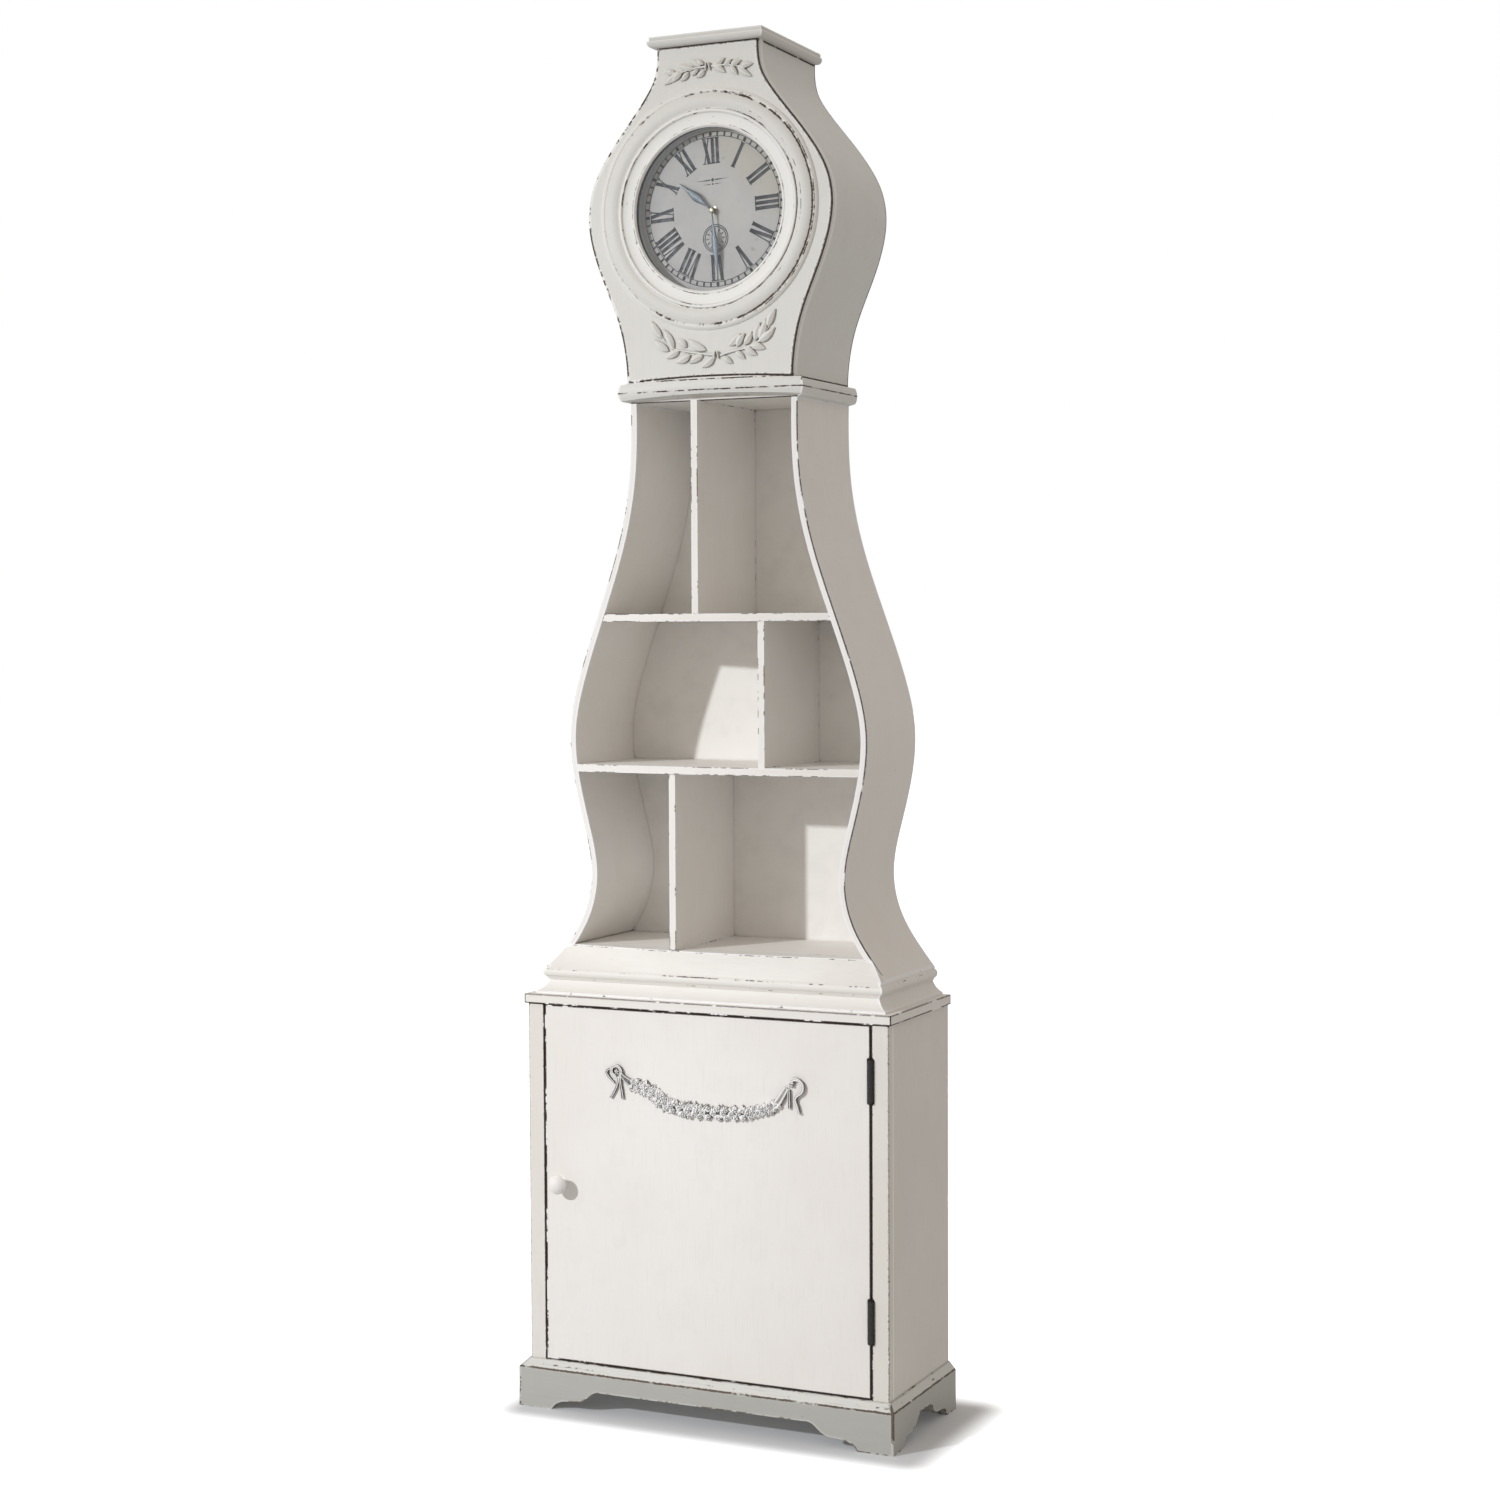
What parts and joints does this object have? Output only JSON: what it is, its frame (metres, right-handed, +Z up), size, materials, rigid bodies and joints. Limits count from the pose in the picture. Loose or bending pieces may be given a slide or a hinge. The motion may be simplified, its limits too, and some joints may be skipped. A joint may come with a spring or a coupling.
{
  "type": "longcase clock",
  "caption": "White painted baluster floor clock with a round dial, a curved waist of open shelves, and a cupboard base with one hinged door on a scrolled plinth.",
  "frame": {"origin": "centre of the footprint's box on the floor, under the feet", "axes": "+Z up, +X to the right seen from the front, the dial and the door face -Y, the back is towards +Y"},
  "size_m": [0.599, 0.259, 2],
  "materials": {
    "painted_wood": "distressed off-white paint with dark worn edges",
    "backing": "thin painted board, matt",
    "carving": "distressed off-white paint, dark in the hollows",
    "door_knob": "distressed off-white paint",
    "hinge_iron": "dark antique finish, rubbed on the knuckles",
    "screw_steel": "aged steel",
    "catch_plastic": "moulded",
    "catch_steel": "zinc plated",
    "dial_glass": "clear",
    "dial_face": "aged printed dial, matt",
    "dial_rim": "grey paint",
    "hand_steel": "blue-black steel",
    "nut_brass": "polished",
    "movement_plastic": "moulded",
    "gear_plastic": "moulded",
    "arbor_steel": "ground",
    "contact_steel": "nickel plated",
    "battery": "plain printed sleeve"
  },
  "bodies": {
    "case": {"plinth_front": "painted_wood", "plinth_left": "painted_wood", "plinth_right": "painted_wood", "cabinet_bottom": "painted_wood", "cabinet_side_left": "painted_wood", "cabinet_side_right": "painted_wood", "cabinet_top": "painted_wood", "stile_left": "painted_wood", "stile_right": "painted_wood", "base_front": "painted_wood", "base_left": "painted_wood", "base_right": "painted_wood", "waist_floor": "painted_wood", "waist_side_left": "painted_wood", "waist_side_right": "painted_wood", "shelf_middle": "painted_wood", "shelf_upper": "painted_wood", "divider_lower": "painted_wood", "divider_middle": "painted_wood", "divider_upper": "painted_wood", "neck_board": "painted_wood", "band_moulding": "painted_wood", "head_front": "painted_wood", "head_side_left": "painted_wood", "head_side_right": "painted_wood", "head_top": "painted_wood", "cornice": "painted_wood", "dial_ring": "painted_wood", "dial_bezel": "painted_wood", "plinth_back": "backing", "corner_blocks": "backing", "cabinet_back": "backing", "waist_back": "backing", "head_back": "backing", "laurel_upper": "carving", "laurel_lower": "carving", "hinge_frame_leaves": "hinge_iron", "hinge_pins": "hinge_iron", "hinge_frame_screws": "screw_steel", "catch_magnet": "catch_plastic", "dial_glass": "dial_glass", "dial_plate": "dial_face", "dial_rim": "dial_rim", "movement_nut": "nut_brass", "movement_case": "movement_plastic", "movement_cover": "movement_plastic", "battery_contacts": "contact_steel"},
    "door": {"door_panel": "painted_wood", "door_knob": "door_knob", "knob_screw": "screw_steel", "door_garland": "carving", "hinge_door_leaves": "hinge_iron", "hinge_door_screws": "screw_steel", "catch_strike": "catch_steel"},
    "minute": {"minute_arbor": "arbor_steel", "minute_hand": "hand_steel"},
    "hour": {"hour_wheel": "gear_plastic", "hour_hand": "hand_steel"},
    "setting": {"setting_wheel": "gear_plastic"},
    "battery": {"battery": "battery"}
  },
  "joints": [
    {"name": "door_hinge", "type": "hinge", "parent": "case", "child": "door", "pos_m": [0.2605, -0.1041, 0.3355], "axis": [0, 0, 1], "range_deg": [0, 110]},
    {"name": "minute_spin", "type": "hinge", "parent": "case", "child": "minute", "pos_m": [0, -0.05, 1.7515], "axis": [0, 1, 0], "continuous": true},
    {"name": "hour_spin", "type": "hinge", "parent": "case", "child": "hour", "pos_m": [0, -0.05, 1.7515], "axis": [0, 1, 0], "continuous": true},
    {"name": "setting_spin", "type": "hinge", "parent": "case", "child": "setting", "pos_m": [0, -0.04, 1.7635], "axis": [0, 1, 0], "continuous": true},
    {"name": "battery_slide", "type": "slide", "parent": "case", "child": "battery", "axis": [0, 1, 0], "range_m": [0, 0.02]}
  ],
  "couplings": [
    {"joint": "hour_spin", "follows": "minute_spin", "ratio": 0.083333},
    {"joint": "setting_spin", "follows": "minute_spin", "ratio": -0.33333}
  ]
}
